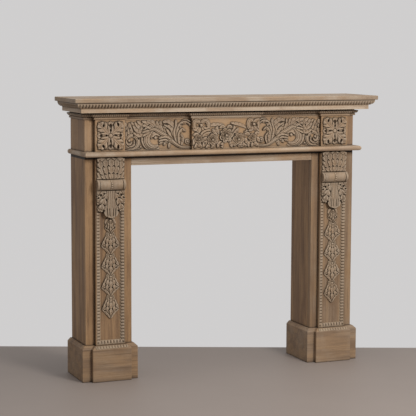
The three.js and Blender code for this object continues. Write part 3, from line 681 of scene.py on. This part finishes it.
def garland():
    """The tablet: roses and leaves on a swag, hung from a ribbon bow at each end."""
    half, high, fillet = TABLET_HALF - FIT_GAP, 163.4, 134
    c = Carving(-half, half, FIT_GAP, high, 0.9)
    # ribbons of the swag and loops of the bows
    c.finger([(-84, 92), (-70, 103), (-44, 104), (-16, 104)], 8, 7, -0.3)
    c.finger([(92, 90), (76, 98), (50, 106), (24, 110)], 8, 7.5, 0.3)
    for loop in (
        [(-118, 105), (-127, 118), (-144, 120), (-151, 105), (-143, 90), (-128, 92), (-118, 102)],
        [(-118, 105), (-110, 119), (-94, 122), (-83, 107), (-89, 90), (-104, 90), (-118, 102)],
        [(130, 106), (123, 120), (110, 121), (104, 104), (110, 88), (122, 90), (130, 102)],
        [(130, 106), (136, 118), (147, 118), (152, 103), (149, 88), (139, 88), (130, 102)],
    ):
        c.band(loop, [5, 8, 9, 9, 9, 8, 5], 8.5, 2)
    for points in (
        [(-120, 96), (-134, 86), (-150, 84)], [(-118, 96), (-112, 84), (-102, 74)],
        [(-122, 92), (-126, 80), (-136, 68)], [(130, 96), (122, 84), (108, 76)],
        [(132, 94), (140, 82), (152, 74)], [(128, 112), (142, 120), (154, 126)],
    ):
        c.finger(points, 8.5, 8)
    # leaves between the flowers, from each flower outwards
    for points, wide in (
        ([(-130, 46), (-144, 40), (-154, 22)], 9), ([(-128, 56), (-138, 64), (-150, 62)], 9),
        ([(-120, 54), (-104, 70), (-80, 82)], 11), ([(-112, 50), (-96, 62), (-74, 70)], 10),
        ([(-136, 30), (-138, 18), (-146, 8)], 8), ([(-124, 28), (-122, 16), (-112, 8)], 9),
        ([(-84, 46), (-98, 44), (-112, 34)], 10), ([(-86, 34), (-98, 26), (-108, 12)], 10),
        ([(-80, 24), (-84, 14), (-94, 6)], 8), ([(-58, 18), (-60, 10), (-70, 5)], 7),
        ([(-44, 56), (-54, 70), (-62, 84)], 9), ([(-34, 68), (-44, 82), (-42, 96)], 9),
        ([(-24, 30), (-34, 22), (-40, 8)], 9), ([(-14, 26), (-20, 14), (-18, 5)], 8),
        ([(14, 30), (24, 20), (24, 8)], 8), ([(26, 38), (34, 24), (40, 10)], 8),
        ([(26, 70), (38, 82), (36, 96)], 9), ([(34, 62), (46, 72), (54, 84)], 10),
        ([(80, 54), (92, 62), (96, 76)], 10), ([(84, 40), (94, 34), (98, 20)], 9),
        ([(78, 24), (84, 14), (96, 10)], 9), ([(56, 18), (64, 9), (76, 6)], 7),
        ([(110, 54), (102, 62), (88, 62)], 9), ([(112, 30), (106, 20), (104, 8)], 8),
        ([(134, 30), (140, 18), (150, 10)], 9), ([(142, 44), (150, 40), (155, 28)], 8),
        ([(136, 56), (144, 64), (154, 66)], 9), ([(124, 26), (124, 16), (120, 7)], 7),
        ([(-6, 88), (-16, 96), (-30, 92)], 8), ([(6, 88), (14, 96), (26, 92)], 8),
    ):
        c.finger(points, wide, 8.5, 0.4 if points[0][0] < points[-1][0] else -0.4)
    for flower in ((-128, 44, 20, 10, 5, 0.2), (124, 44, 20, 10, 5, 0.7), (-64, 40, 27, 11, 6, 0.4),
                   (58, 40, 28, 11, 6, 0.1), (-1, 58, 32, 13, 7, 0)):
        c.rose(*flower)
    c.ball(-118, 103, 8, 11)
    c.ball(130, 104, 7, 11)
    c.drills(
        1.5,
        (-138, 103, 2.6, 1.6, 90), (-98, 108, 3.8, 1.4, 90), (-125, 99, 2.6, 2, 90),
        (-93, 98, 2.6, 1.6, 120), (117, 103, 3.2, 2.6, 90), (143, 101, 3.2, 2.2, 110),
        (-78, 62, 2.8, 4, 48), (-87, 51, 2.6, 2, 60), (-28, 66, 3, 2.4, 110),
        (-21, 46, 2.4, 2, 120), (40, 60, 3, 2.2, 110), (101, 40, 2.8, 2.6, 80), (83, 72, 2.4, 2.8, 90),
        (10, 28, 3, 1.6, 0), (-26, 14, 2.8, 1.8, 0), (-100, 26, 2.6, 2, 90),
    )
    ground_fillets(c, fillet)
    c.h[c.v > fillet] = 0
    return c


def console():
    """Upper fan of leaves, bolster roll and hanging leaf."""
    high, half, foot, roll, hem = 259.7, CONSOLE_HALF, 164.0, 142.0, 136
    c = Carving(-half, half, 0, high, 0.9, 2.2, 0.55)
    u, v, out = c.u, c.v, np.abs(c.u)
    # hanging leaf: a broad domed body, fluted down its middle, with a lobed leaf to each side
    outline = np.interp(v, [3, 6, 12, 21, 29, 31, 36, 44, 50, 58, 70, 76, 84, 95, 100, 110, 122, hem],
                        [7, 16, 25, 30, 31, 50, 56, 59, 55, 60, 60, 56, 60, 60, 56, 60, 59, 60])
    inside = np.minimum(outline - out, np.minimum(v - 3, hem - v))
    flutes = 1.2 * np.cos(2 * np.pi * u / 11) * unit(1.6 - out / 20)
    dome = 7 + 9 * unit(1 - (u / half) ** 2) + flutes
    c.lay(WHOLE, np.where(inside > -2, dome, 0), inside, 1, 0)
    for side in (-1, 1):
        for points, widths, height, lobes, cut, eye in (
            ([(22, hem), (42, 122), (60, 98)], [10, 16, 15, 8], 11, 2, 0.3, 2.2),
            ([(20, 122), (40, 98), (58, 62)], [9, 15, 17, 10], 13, 2, 0.34, 2.6),
            ([(16, 104), (34, 74), (47, 34)], [9, 15, 18, 16, 9], 15, 3, 0.34, 2.8),
        ):
            c.leaf(mirrored(points, side), widths, height, lobes, 0.8, cut, eye)
        for x, y, r in ((56, 88, 3.2), (44, 98, 3), (31, 106, 2.6), (56, 56, 3.4), (33, 33, 3.8)):
            c.drill(side * x, y, r, 1, 1.3, -side * 35)
    body = np.interp(v, [3, 6, 12, 22, 34, 52, 90, 112, hem], [4, 13, 20, 24, 23, 18, 16, 21, 26])
    inside = np.minimum(body - out, np.minimum(v - 3, hem - v))
    tip = 18 - 0.0011 * (v - 30) ** 2 + 1.5 * np.cos(2 * np.pi * u / 8.5) - 2 * np.abs(u / 18) ** 2
    c.lay(WHOLE, np.where(inside > -2, tip, 0), inside, 1.8, 2.0)
    parts = sum(np.exp(-(((out - k - v / 20) / 1.8) ** 2)) for k in (7, 16))
    groove = parts * unit((48 - v) / 8) * unit((v - 7) / 6)
    c.h -= 6 * groove
    # The grooves are painted dark as well, as grime and painted shade
    c.drilled = np.maximum(c.drilled, 0.7 * groove)
    # body under the fan, swelling towards its top
    flare = np.interp(v, [foot, foot + 24, high - 26, high], [8, 9, 13, 13])
    fan = np.degrees(np.arctan2(u, v - foot + 70))
    crest = 5 * (1 - np.abs(np.cos(np.pi * fan / 13)) ** 0.6)
    inside = half - 1.5 - 4 * (1 - np.abs(np.sin(np.pi * (v - foot) / 19)) ** 0.5) - out
    inside = np.minimum(inside, np.minimum(high - 3 - crest - v, v - foot + 4))
    c.lay(WHOLE, np.where(inside > -2, flare * (1 - 0.2 * (u / half) ** 2), 0), inside, 1, 0)
    for side in (-1, 1):
        outer = [(24, foot), (40, foot + 36), (49, high - 16)]
        inner = [(12, foot), (22, foot + 44), (25, high - 8)]
        c.leaf(mirrored(outer, side), [9, 14, 16, 13], 13, 3, 0.9, 0.28, 2.0)
        c.leaf(mirrored(inner, side), [8, 13, 15, 12], 14.5, 3, 0.8, 0.25, 2.0)
        for up in (176, 197, 218, 236):
            c.drill(side * 58, up, 2.6, 1, 1.4, 0)
    c.leaf([(0, foot), (0, foot + 45), (0, high - 6)], [8, 14, 17, 13], 16.5, 3, 0.8, 0.25, 1.8)
    # bolster roll
    across = unit(1 - ((v - roll) / 23.0) ** 2)
    ring = (out > half - 9) | (out < 3.5)
    body = 24.5 - 0.004 * (out - 28) ** 2
    tall = np.sqrt(across) * np.where(ring, 26, body)
    tall *= np.where(np.abs(out - (half - 10)) < 1.2, 0.9, 1)
    tall *= np.where(out < 3.5, 0.86 + 0.16 * np.abs(np.sin(np.pi * (v - 116) / 9.6)), 1)
    c.lay(WHOLE, tall + 2, np.minimum(23 - np.abs(v - roll), half + 1 - out), 2.5, 8)
    return c


def husk_petals(c, top, height, half):
    """The leaves of one husk, fanning down from its throat, and its drilled eyes."""

    def at(side, *steps):
        return [(side * out * half, top - way * height) for out, way in steps]

    def petal(line, widths, rise, lean, cut, eye, sides=(1, 1)):
        c.leaf(line, [half * w for w in widths], rise, 3, lean, cut, eye, sides)

    for side in (-1, 1):
        inner_half = (0.45, 1) if side > 0 else (1, 0.45)
        c.finger(at(side, (0.96, 0.62), (0.5, 0.75), (0.08, 0.97)), half * 0.13, 9, side * -0.3)
        outer = at(side, (0.22, 0.06), (0.56, 0.32), (0.98, 0.61))
        petal(outer, [0.18, 0.28, 0.26, 0.08], 9, 0.8, 0.32, 1.6, inner_half)
        petal(at(side, (0.14, 0.1), (0.34, 0.44), (0.42, 0.74)), [0.13, 0.2, 0.2, 0.1], 10.5, 0.9, 0.25, 1.4)
        c.drill(*at(side, (0.68, 0.66))[0], 2.4, 1.5, 1.5, side * 40)
        c.drill(*at(side, (0.2, 0.62))[0], 2.0, 2, 1.8, 90 - side * 8)
    petal(at(1, (0, 0.1), (0, 0.46), (0, 0.9)), [0.14, 0.2, 0.22, 0.12], 12.5, 0.9, 0.25, 1.4)
    c.ball(0, top - height * 0.14, min(6, half * 0.26), 11)


def husks():
    """Five bell flowers in a string: each opens from a narrow throat to two side tips and a long tongue."""
    tall = (64, 90, 88, 90, 95)
    wide = (50, 81, 81, 81, 76)
    c = Carving(-41, 41, -sum(tall), 0, 0.85, 2.4, 0.8)
    # outlines: the share of the way down, and the share of the half-width there
    bell = (
        [0, 0.04, 0.1, 0.25, 0.36, 0.4, 0.48, 0.52, 0.58, 0.62, 0.655, 0.7, 0.74, 0.8, 0.84, 0.9, 1],
        [0.25, 0.4, 0.48, 0.56, 0.66, 0.62, 0.76, 0.78, 0.97, 1, 0.86, 0.68, 0.62, 0.46, 0.42, 0.26, 0.05],
    )
    bud = (
        [0, 0.04, 0.2, 0.3, 0.36, 0.55, 0.68, 0.74, 0.85, 1],
        [0.6, 0.8, 0.95, 1.0, 0.86, 0.86, 0.96, 0.8, 0.5, 0.08],
    )
    # the lowest first, so that each bell's tip lies over the throat of the next
    for i in reversed(range(5)):
        half, foot = wide[i] / 2, -sum(tall[: i + 1])
        height = tall[i] + (9 if i else 0)
        top = foot + height
        down = (top - c.v) / height
        outline = np.interp(down, *(bell if i else bud)) * half
        inside = np.where((down > 0) & (down < 1), outline - np.abs(c.u), -9)
        swell = 3.5 + 4 * np.sqrt(unit(1 - (c.u / np.maximum(outline, 1)) ** 2))
        c.lay(WHOLE, np.where(inside > 0, swell, 0), inside, 1, 0)
        husk_petals(c, top, height, half)
    return c


def sweep(corners, profile, carve=None, pitch=1.5):
    """A moulding along mitred corners, each with the directions in which the reach runs out from it.
    profile is (reach, z, share) round the section, outward points first to last, and carve(run, share)
    moves the points whose share isn't -1 along the section's own outward direction."""
    reach, z, marked = (np.array(column, float) for column in zip(*profile))
    ahead = np.roll(np.c_[reach, z], -1, 0) - np.roll(np.c_[reach, z], 1, 0)
    out = np.c_[ahead[:, 1], -ahead[:, 0]] / np.maximum(np.hypot(*ahead.T), 1e-6)[:, None]
    rings, cuts = [], []
    for i, (a, b) in enumerate(zip(corners, corners[1:])):
        length = math.hypot(b[0] - a[0], b[1] - a[1])
        course = ((b[0] - a[0]) / length, (b[1] - a[1]) / length)
        begin = reach * (a[2] * course[0] + a[3] * course[1])
        finish = length + reach * (b[2] * course[0] + b[3] * course[1])
        steps = max(1, int(round(length / pitch))) if carve else 1
        last = i == len(corners) - 2
        for share in np.linspace(0, 1, steps + 1)[: None if last else -1]:
            run = begin + share * (finish - begin) - length / 2
            lift = np.zeros_like(reach) if carve is None else carve(run, marked) * (marked >= 0)
            r, up = reach + lift * out[:, 0], z + lift * out[:, 1]
            start = np.c_[a[0] + a[2] * r, a[1] + a[3] * r]
            end = np.c_[b[0] + b[2] * r, b[1] + b[3] * r]
            rings.append(np.c_[start + (end - start) * share, up])
            cuts.append(-lift)
    count = len(profile)
    points = np.vstack(rings)
    faces = []
    for i in range(len(rings) - 1):
        for j in range(count):
            k = (j + 1) % count
            faces.append([i * count + j, (i + 1) * count + j, (i + 1) * count + k, i * count + k])
    faces.append(list(range(count)))
    faces.append([len(points) - 1 - j for j in range(count)])
    # The deepest cuts are painted dark as grime and painted shade, the carved face lighter as worn wood and
    # painted highlight
    cut = np.concatenate(cuts)
    hollow_dirt_and_shade = unit(cut / max(cut.max(), 0.1))
    rubbed_and_highlit = 0.7 * (1 - hollow_dirt_and_shade) * (np.tile(marked, len(rings)) > 0.1)
    return points, faces, {"hollow_dirt_and_shade": hollow_dirt_and_shade**0.8, "rubbed_and_highlit": rubbed_and_highlit}


def ovolo(reach, z, wide, high, count):
    """Points of a quarter round from its foot to its tip, for carving."""
    turns = [(share, share * math.pi / 2) for share in np.linspace(0, 1, count)]
    return [(reach + wide * math.sin(turn), z + high * (1 - math.cos(turn)), share) for share, turn in turns]


def return_path(side, front):
    """The way of a moulding along the mantel's side, between the wall and the mitre."""
    path = [(side * BODY_HALF, WALL_FACE, side, 0), (side * BODY_HALF, front + MITRE_GAP, side, -1)]
    return path[::-side]


def crown_moulding():
    """The ovolo under the shelf, carved with eggs."""
    low, high = CROWN_BOTTOM + FIT_GAP, SHELF_BOTTOM - FIT_GAP
    front = LEG_FACE - CROWN_STEP
    foot, tip, egg = 37, 58, 13.6

    def eggs(run, share):
        """Eggs parted by deep cuts, between a plain top and a plain foot."""
        band = unit(np.minimum(share - 0.04, 0.9 - share) * 9)
        return -6.5 * (1 - rounded(run, egg, 1.7)) * band

    middle = [(-BODY_HALF, front, -1, -1), (BODY_HALF, front, 1, -1)]
    runs = [(name, "y", return_path(side, front), FIT_GAP) for side, name in SIDES]
    for name, grain, path, back in runs + [("front", "x", middle, FIT_GAP - CROWN_STEP)]:
        section = [(back, low, -1), (foot, low, -1), (foot, low + 2.4, -1)]
        section += ovolo(foot, low + 3, tip - foot, high - low - 5.5, 13)
        section += [(tip, high, -1), (back, high, -1)]
        points, faces, wear_and_shade = sweep(path, section, eggs, egg / 10)
        # The top of the crown, under the shelf, gets a painted shadow line
        wood = oak("oak crown " + name, grain, 1.0, True, 0.6, (SHELF_BOTTOM - 5, SHELF_BOTTOM - 1))
        make("carved_crown_" + name, points, faces, wood, ["crown_ovolo_" + name], 60, wear_and_shade)


def bed_moulding():
    """The small reeded ovolo over the frieze, which breaks forward round the blocks and the tablet."""
    foot, cap, reed = BED_BOTTOM + FIT_GAP, BED_BOTTOM + 9, 9.0

    def reeds(run, share):
        band = unit(np.minimum(share + 0.02, 1.02 - share) * 8)
        return -3.4 * (1 - rounded(run, reed, 2)) * band

    section = [(FIT_GAP, foot, -1), (6, foot, -1), (7, foot + 1, -1), (7, cap - 1, -1), (6, cap, -1),
               (3.5, cap + 0.4, -1)]
    section += ovolo(4.5, cap + 1, 13, 12, 8)
    top = BED_TOP - 0.5
    section += [(17.5, cap + 14, -1), (4, cap + 14.4, -1), (4, top, -1), (FIT_GAP, top, -1)]
    half = [(BODY_HALF, LEG_FACE, 1), (BLOCK_OUTER, LEG_FACE, 1), (BLOCK_OUTER, BLOCK_FACE, 1),
            (BLOCK_INNER, BLOCK_FACE, -1), (BLOCK_INNER, LEG_FACE, -1), (TABLET_HALF, LEG_FACE, 1),
            (TABLET_HALF, BLOCK_FACE, 1)]
    around = [(-x, y, -d, -1) for x, y, d in half] + [(x, y, d, -1) for x, y, d in half[::-1]]
    runs = [("front", "x", around)] + [(name, "y", return_path(side, LEG_FACE)) for side, name in SIDES]
    for name, grain, path in runs:
        points, faces, wear_and_shade = sweep(path, section, reeds, reed / 7)
        # The top of the bed mould, under the corona, gets a painted shadow band
        wood = oak("oak bed mould " + name, grain, 1.05, True, 0.6, (BED_TOP - 13, BED_TOP - 4))
        make("reeded_bed_mould_" + name, points, faces, wood, ["bed_mould_" + name], 60, wear_and_shade)


def pilasters():
    """The board of each pilaster, with its sunk field and a border of beads."""
    half, wall, sunk = PILASTER_HALF, PILASTER_HALF - FIELD_BORDER, -FIELD_DEPTH
    bead = 13.6
    section = [(0.2, sunk - 1, -1), (BEAD_WIDTH, sunk - 1, -1), (BEAD_WIDTH, sunk + 0.6, -1)]
    for share in np.linspace(0, 1, 9):
        angle = share * math.pi * 0.6
        section.append((4.5 + (BEAD_WIDTH - 5.5) * math.cos(angle), sunk + 1 + 7.2 * math.sin(angle), share))
    section.append((0.2, sunk + 4, -1))

    def beads(run, share):
        """Beads with a thin reel in the middle of each gap."""
        reel = 0.25 * np.exp(-(((run / bead + 0.5) % 1 - 0.5) ** 2) / 0.006)
        band = unit(np.minimum(share, 1 - share) * 7 + 0.1)
        return -5.0 * (1 - rounded(run, bead, 2.2) + reel) * band

    # Both pilasters get a painted shadow line under the necking, and the right one is painted darker as
    # painted shade
    wood = {
        "left": oak("oak pilaster left", "z", 0.97, False, 0.1, UNDER_NECKING),
        "right": oak("oak pilaster right", "z", 0.84, False, 0.3, UNDER_NECKING),
    }
    for side, name in SIDES:
        centre = side * PILASTER_CENTRE
        outer = [(-half, 0), (half, 0), (half, LEG_HEIGHT - FIT_GAP), (-half, LEG_HEIGHT - FIT_GAP)]
        inner = [(-wall, FIELD_FOOT), (wall, FIELD_FOOT), (wall, FIELD_HEAD), (-wall, FIELD_HEAD)]
        points = [(centre + x, LEG_FACE - FIT_GAP, z) for x, z in outer]
        points += [(centre + x, PILASTER_FACE, z) for x, z in outer]
        points += [(centre + x, PILASTER_FACE, z) for x, z in inner]
        points += [(centre + x, PILASTER_FACE + FIELD_DEPTH, z) for x, z in inner]
        faces = [[3, 2, 1, 0], [12, 13, 14, 15]]
        for j in range(4):
            k = (j + 1) % 4
            for low in (0, 4, 8):
                faces.append([low + j, low + k, low + 4 + k, low + 4 + j])
        board = make("pilaster_board_" + name, points, faces, wood[name], ["pilaster_" + name])
        soften(board, 1.2)
        path = [(wall, FIELD_HEAD, -1, 0), (wall, FIELD_FOOT, -1, 1),
                (-wall, FIELD_FOOT, 1, 1), (-wall, FIELD_HEAD, 1, 0)]
        points, faces, wear_and_shade = sweep(path, section, beads, bead / 8)
        placed = np.c_[centre + points[:, 0], PILASTER_FACE - points[:, 2], points[:, 1]]
        beading = oak("oak beads " + name, "z", 0.9, True, 0.6)
        make("bead_border_" + name, placed, faces, beading, ["pilaster_" + name], 60, wear_and_shade)


def plinths():
    """The mitred plinth boards round each leg, with a row of ribs on the chamfer before the pilaster."""
    top = PLINTH_HEIGHT + PLINTH_CHAMFER
    section = [(FIT_GAP, 0, -1), (PLINTH_THICK, 0, -1), (PLINTH_THICK, PLINTH_HEIGHT, -1),
               (PLINTH_THICK - PLINTH_CHAMFER, top, -1), (FIT_GAP, top, -1)]
    low, high, rib = PLINTH_HEIGHT + 1, top - 1, 12.8
    strip = [(8, high - 1.5, -1), (19, low - 1, -1)]
    for share in np.linspace(0, 1, 7):
        swell = (1.2 + 1.4 * math.sin(share * math.pi)) * 0.7
        strip.append((20 - 11 * share + swell, low + 11 * share + swell, share))

    def ribs(run, _):
        return -2.6 * (1 - rounded(run, rib, 2.4))

    for side, name in SIDES:
        path = [(BODY_HALF, WALL_FACE, 1, 0), (BODY_HALF, LEG_FACE, 1, -1), (BLOCK_OUTER, LEG_FACE, 1, -1),
                (BLOCK_OUTER, PILASTER_FACE, 1, -1), (BLOCK_INNER, PILASTER_FACE, -1, -1),
                (BLOCK_INNER, LEG_FACE, -1, -1), (LEG_INNER, LEG_FACE, -1, -1),
                (LEG_INNER, WALL_FACE, -1, 0)]
        path = [(side * x, y, side * dx, dy) for x, y, dx, dy in path][::-side]
        tone, grey = SHADES["plinth_" + name]
        points, faces, _ = sweep(path, section)
        wood = oak("oak plinth " + name, "x", tone, False, grey)
        soften(make("mitred_plinth_" + name, points, faces, wood, ["plinth_" + name]), 1.5)
        middle = side * PILASTER_CENTRE
        row = [(middle - 5.5 * rib, PILASTER_FACE, 0, -1), (middle + 5.5 * rib, PILASTER_FACE, 0, -1)]
        points, faces, wear_and_shade = sweep(row, strip, ribs, rib / 8)
        wood = oak("oak ribs " + name, "x", tone * 0.95, True, 0.4)
        make("plinth_ribs_" + name, points, faces, wood, ["plinth_" + name], 60, wear_and_shade)


def carvings():
    """Sets each carving before its own board, mirrored on the right. Only the garland stands alone."""
    block, panel = LEG_FACE - BLOCK_FACE - FIT_GAP, LEG_FACE - PANEL_FACE - FIT_GAP
    centre, board, field = PILASTER_CENTRE, PILASTER_FACE - FIT_GAP, PILASTER_FACE + FIELD_DEPTH - FIT_GAP
    # piece, node, grain, tones left and right, which paint in light and shade that differ from side to side,
    # carving, where it starts, and its board's thickness
    rows = (
        ("corner_rosette_", "corner_block_", "z", (1.06, 0.94), acanthus_rosette(),
         (centre, FRIEZE_BOTTOM, BLOCK_FACE), block),
        ("frieze_scroll_", "scroll_panel_", "x", (1.05, 1.01), scroll(),
         (BLOCK_INNER, FRIEZE_BOTTOM, PANEL_FACE), panel),
        ("leaf_console_", "console_", "z", (0.88, 0.87), console(), (centre, CONSOLE_FOOT, board), None),
        ("husk_string_", "husk_drop_", "z", (0.99, 0.94), husks(), (centre, HUSK_HEAD, field), None),
    )
    for side, name in SIDES:
        for piece, node, grain, tones, carving, origin, thick in rows:
            place = on_panel(side, *origin)
            points, faces, wear_and_shade = carving.slab(place, thick) if thick else carving.island(place)
            if side > 0:
                faces = [corners[::-1] for corners in faces]
            wood = oak("oak " + piece + name, grain, tones[side > 0], True, 0.6)
            make(piece + name, points, faces, wood, [node + name], 50, wear_and_shade)
    points, faces, wear_and_shade = garland().slab(on_panel(-1, 0, FRIEZE_BOTTOM, BLOCK_FACE), block)
    wood = oak("oak garland", "x", 1.02, True, 0.6)
    make("rose_garland", points, faces, wood, ["garland_tablet"], 50, wear_and_shade)


def plain_boards(nodes):
    """The plain boards keep the shapes of the CAD model and get wood and small worn edges."""
    for grain, name in ((grain, name) for grain, *names in GRAINS for name in names):
        board, kind = nodes[name], name.split("_")[0]
        board.data.polygons.foreach_set("use_smooth", np.ones(len(board.data.polygons), bool))
        board.data.materials.clear()
        tone, grey = SHADES.get(name, SHADES.get(kind))
        # Headers and legs get a painted shadow line under the necking
        painted_shadow_band = UNDER_NECKING if kind in ("header", "leg") else None
        board.data.materials.append(oak("oak " + name, grain, tone, False, grey, painted_shadow_band))
        soften(board, 1.8 if kind == "header" or name.startswith("leg_front") else 1.2)


def studio_floor():
    """The floor, which lies square to the camera and ends at the photo's horizon."""
    n = Nodes("studio floor")
    place = n.add("ShaderNodeTexCoord").outputs["Object"]
    colour = srgb(150, 139, 132)
    darker = tuple(c * 0.92 for c in colour[:3]) + (1,)
    n.put(n.shader, "Base Color", n.mix(n.noise(place, 3.0, 4), darker, colour))
    n.put(n.shader, "Roughness", 0.6)
    floor = bpy.data.meshes.new("floor")
    along, ahead = np.array((0.924, -0.3824, 0)), np.array((0.3824, 0.924, 0))
    edge = np.array((0.115, 0.406, 0))
    half, deep = 7, 9
    corners = [edge - half * along - deep * ahead, edge + half * along - deep * ahead,
               edge + half * along, edge - half * along]
    floor.from_pydata([tuple(corner) for corner in corners], [], [(0, 1, 2, 3)])
    floor.materials.append(n.material)
    floor_front = bpy.data.objects.new("floor_front", floor)
    bpy.context.scene.collection.objects.link(floor_front)


look_at_photo()
light_the_studio()
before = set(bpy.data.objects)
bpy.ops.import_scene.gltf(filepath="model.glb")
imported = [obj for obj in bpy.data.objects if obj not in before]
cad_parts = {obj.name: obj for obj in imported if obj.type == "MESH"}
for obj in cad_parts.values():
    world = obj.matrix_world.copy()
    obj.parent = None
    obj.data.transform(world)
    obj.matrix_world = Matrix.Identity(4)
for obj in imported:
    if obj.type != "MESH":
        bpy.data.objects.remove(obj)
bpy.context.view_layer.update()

carvings()
crown_moulding()
bed_moulding()
pilasters()
plinths()
plain_boards(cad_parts)
studio_floor()
